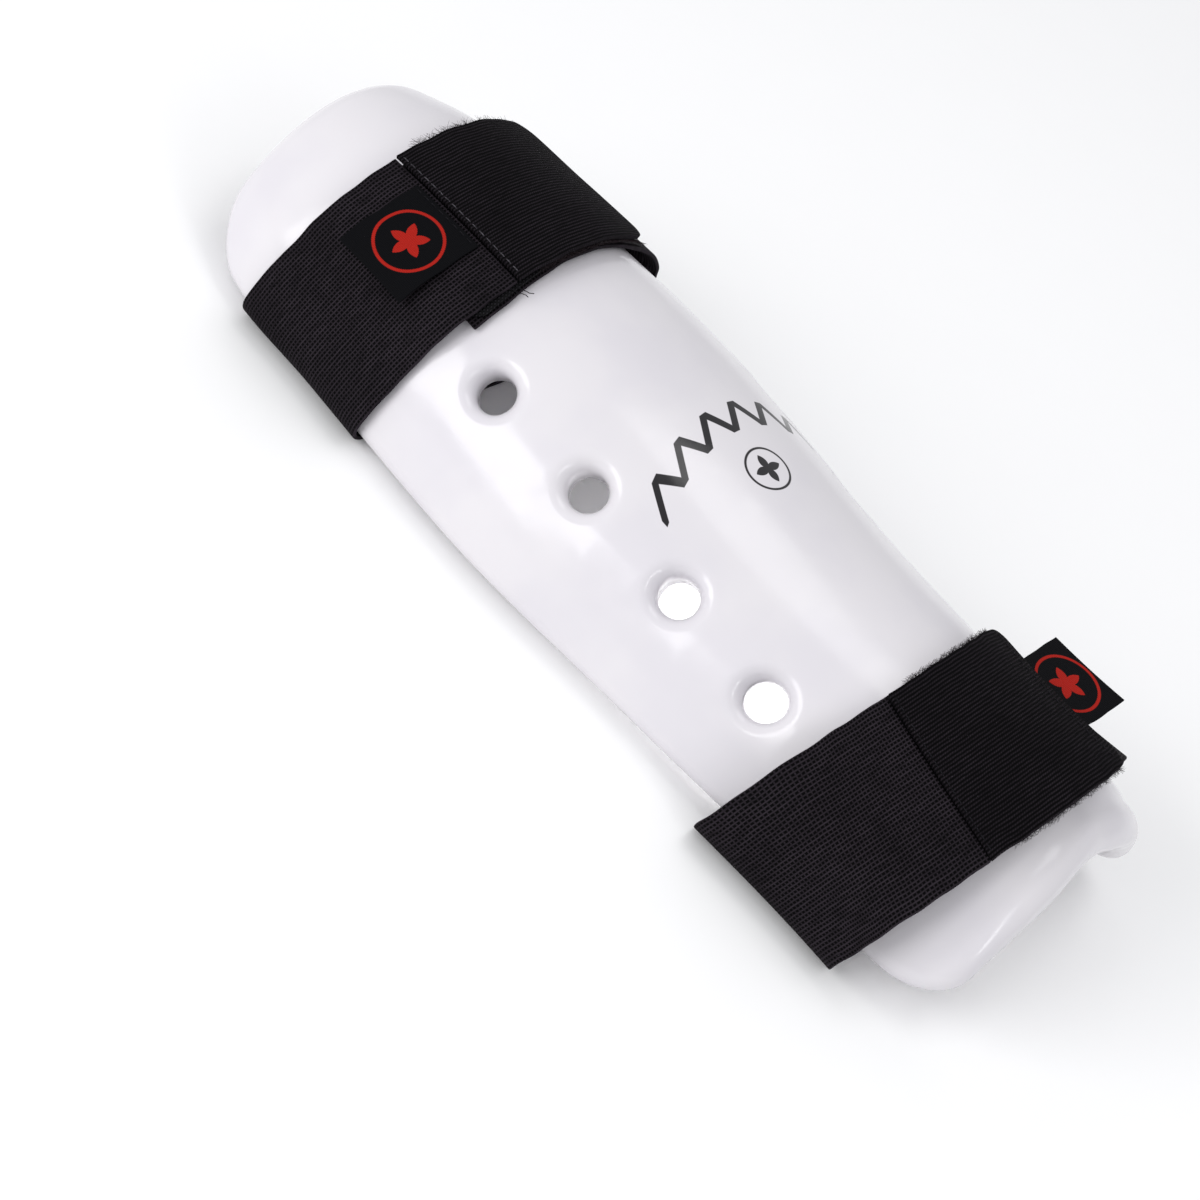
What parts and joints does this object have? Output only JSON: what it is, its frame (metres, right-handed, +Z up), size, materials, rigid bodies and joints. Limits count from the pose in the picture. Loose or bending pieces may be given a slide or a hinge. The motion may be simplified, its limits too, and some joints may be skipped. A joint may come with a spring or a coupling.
{
  "type": "forearm guard",
  "caption": "Dipped-foam half-shell forearm guard, vented, notched at the wrist, with two elastic wrap straps closed by hook and loop tape.",
  "frame": {"origin": "on the floor under the middle of the guard, where the flat runs of its straps rest", "axes": "+X along the guard towards its notched wrist end, +Y across it towards the side the straps' flaps point to, +Z up through the crest"},
  "size_m": [0.2964, 0.1342, 0.0625],
  "materials": {
    "vinyl": "glossy dipped white vinyl",
    "foam": "closed-cell foam",
    "elastic": "black ribbed woven elastic",
    "hook_tape": "black hook tape",
    "loop_tape": "black brushed loop tape",
    "label": "black damask woven label with a red emblem",
    "thread": "black sewing thread"
  },
  "bodies": {
    "guard": {"foam_core": "foam", "vinyl_coat": "vinyl"},
    "elbow_strap": {"elbow_strap": "elastic", "elbow_hook_pad": "hook_tape", "elbow_label": "label", "elbow_label_stitching": "thread", "elbow_hook_stitching": "thread"},
    "elbow_flap": {"elbow_flap": "elastic", "elbow_loop_pad": "loop_tape", "elbow_loop_stitching": "thread"},
    "wrist_strap": {"wrist_strap": "elastic", "wrist_loop_pad": "loop_tape", "wrist_label": "label", "wrist_label_stitching": "thread", "wrist_loop_stitching": "thread"},
    "wrist_flap": {"wrist_flap": "elastic", "wrist_hook_pad": "hook_tape", "wrist_hook_stitching": "thread"}
  },
  "joints": [
    {"name": "elbow_strap_slide", "type": "slide", "parent": "guard", "child": "elbow_strap", "axis": [1, 0, 0], "range_m": [-0.02, 0]},
    {"name": "wrist_strap_slide", "type": "slide", "parent": "guard", "child": "wrist_strap", "axis": [1, 0, 0], "range_m": [-0.012, 0]},
    {"name": "elbow_flap_hinge", "type": "hinge", "parent": "elbow_strap", "child": "elbow_flap", "pos_m": [-0.08903, -0.02589, 0.05536], "axis": [0.9989, -0.0276, 0.0392], "range_deg": [0, 120]},
    {"name": "wrist_flap_hinge", "type": "hinge", "parent": "wrist_strap", "child": "wrist_flap", "pos_m": [0.10707, -0.03259, 0.04714], "axis": [0.9694, -0.2347, -0.0726], "range_deg": [0, 100]}
  ]
}
